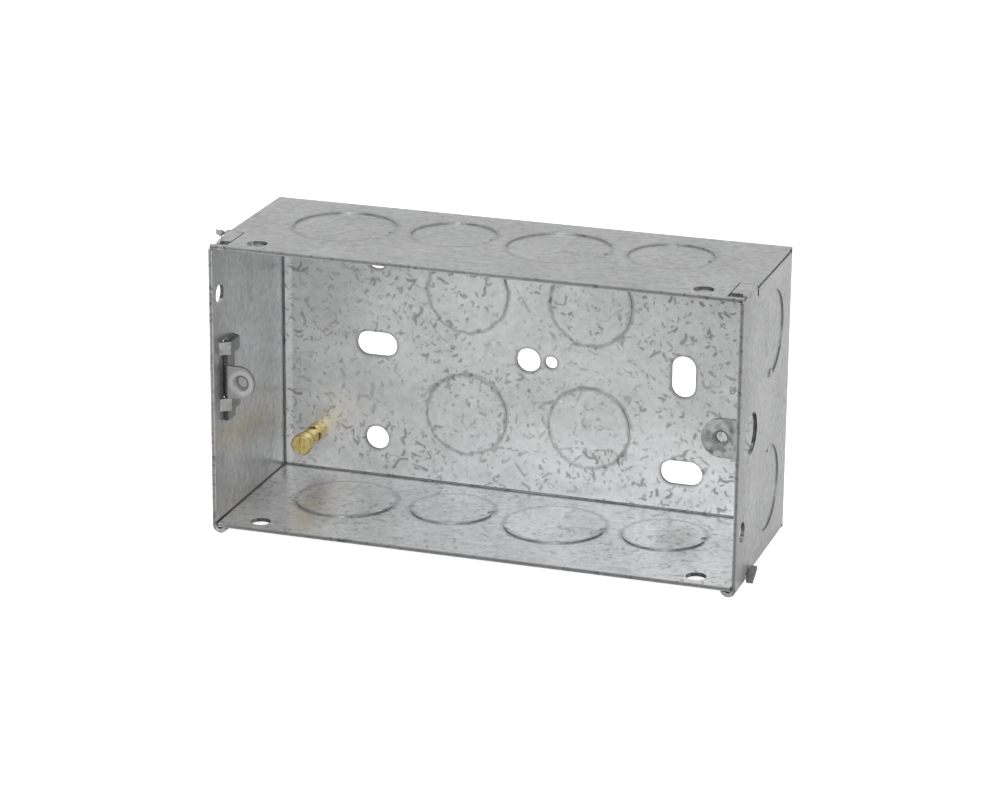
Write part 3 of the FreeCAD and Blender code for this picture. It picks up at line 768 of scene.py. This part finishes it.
class BACKBOX_OT_stage(Operator):
    """Sets the white floor, the soft lights and the camera"""

    bl_idname = "backbox.stage"
    bl_label = "Studio stage"

    floor_half = 5.0
    floor_gap = 0.1 * MM
    floor_tone = (0.9, 0.9, 0.9, 1.0)
    floor_roughness = 0.9
    lamp_aim = (0.0, -0.02, 0.0)
    key_place, key_size = (0.04, -1.1, 0.5), 0.6
    fill_place, fill_size = (0.7, -0.9, 0.55), 0.5
    sensor_width, clip_start = 36.0, 0.01

    def lay_floor(self, scene, glow):
        """A pale floor just under the box. Only the camera sees it burnt out."""
        half, low = self.floor_half, CAD_BOX[0].z - self.floor_gap
        corners = [(-half, -half, low), (half, -half, low), (half, half, low), (-half, half, low)]
        mesh = bpy.data.meshes.new("studio_floor")
        mesh.from_pydata(corners, [], [(0, 1, 2, 3)])
        floor = bpy.data.objects.new("studio_floor", mesh)
        scene.collection.objects.link(floor)
        paint, sketch, shader = new_material("floor_white")
        shader.inputs["Base Color"].default_value = self.floor_tone
        shader.inputs["Roughness"].default_value = self.floor_roughness
        shader.inputs["Emission Color"].default_value = WHITE
        seen = sketch.add("ShaderNodeLightPath").outputs["Is Camera Ray"]
        sketch.feed(shader.inputs["Emission Strength"], sketch.math("MULTIPLY", seen, glow))
        mesh.materials.append(paint)

    def light_all_round(self, scene, strength):
        world = bpy.data.worlds.new("studio_surround")
        world.use_nodes = True
        sky = world.node_tree.nodes["Background"]
        sky.inputs["Color"].default_value = WHITE
        sky.inputs["Strength"].default_value = strength
        scene.world = world

    def hang_lamp(self, scene, name, place, size, power):
        light = bpy.data.lights.new(name, "AREA")
        light.size = size
        light.energy = power
        lamp = bpy.data.objects.new(name, light)
        lamp.location = place
        lamp.rotation_euler = (Vector(self.lamp_aim) - Vector(place)).to_track_quat("-Z", "Y").to_euler()
        scene.collection.objects.link(lamp)

    def set_camera(self, scene, settings):
        data = bpy.data.cameras.new("photo_camera")
        data.lens = settings.lens
        data.sensor_width = self.sensor_width
        data.clip_start = self.clip_start
        camera = bpy.data.objects.new("photo_camera", data)
        place = Vector(settings.place)
        turn = (Vector(settings.aim) - place).to_track_quat("-Z", "Y")
        camera.rotation_mode = "QUATERNION"
        camera.rotation_quaternion = turn @ Quaternion((0.0, 0.0, 1.0), settings.roll)
        camera.location = place
        scene.collection.objects.link(camera)
        scene.camera = camera

    def execute(self, context):
        scene = context.scene
        settings = scene.backbox_stage
        self.lay_floor(scene, settings.floor_glow)
        self.light_all_round(scene, settings.sky)
        self.hang_lamp(scene, "key_light", self.key_place, self.key_size, settings.key_power)
        self.hang_lamp(scene, "fill_light", self.fill_place, self.fill_size, settings.fill_power)
        scene.view_settings.view_transform = "Standard"
        self.set_camera(scene, settings)
        return {"FINISHED"}


class BACKBOX_PT_sidebar(Panel):
    """Lists the steps and the sizes that a user may change"""

    bl_idname = "BACKBOX_PT_sidebar"
    bl_label = "Flush Back Box"
    bl_space_type = "VIEW_3D"
    bl_region_type = "UI"
    bl_category = "Back Box"

    def draw(self, context):
        scene = context.scene
        for group, steps in ((scene.backbox_zinc, (BACKBOX_OT_zinc_sheet, BACKBOX_OT_zinc_lug)),
                             (scene.backbox_brass, (BACKBOX_OT_brass,)),
                             (scene.backbox_threads, (BACKBOX_OT_threads,)),
                             (scene.backbox_stage, (BACKBOX_OT_stage,))):
            box = self.layout.box()
            for name in group.__annotations__:
                box.prop(group, name)
            for step in steps:
                box.operator(step.bl_idname)


GROUPS = {
    "backbox_zinc": ZincFinish,
    "backbox_brass": BrassFinish,
    "backbox_threads": ThreadSizes,
    "backbox_stage": StudioStage,
}
CLASSES = (*GROUPS.values(), BACKBOX_OT_zinc_sheet, BACKBOX_OT_zinc_lug, BACKBOX_OT_brass,
           BACKBOX_OT_threads, BACKBOX_OT_stage, BACKBOX_PT_sidebar)


def register():
    for item in CLASSES:
        bpy.utils.register_class(item)
    for name, group in GROUPS.items():
        setattr(bpy.types.Scene, name, PointerProperty(type=group))


def unregister():
    for name in GROUPS:
        delattr(bpy.types.Scene, name)
    for item in reversed(CLASSES):
        bpy.utils.unregister_class(item)


def main():
    register()
    bpy.ops.backbox.zinc_sheet()
    bpy.ops.backbox.zinc_lug()
    bpy.ops.backbox.brass()
    bpy.ops.backbox.threads()
    bpy.ops.backbox.stage()


if __name__ == "__main__":
    main()
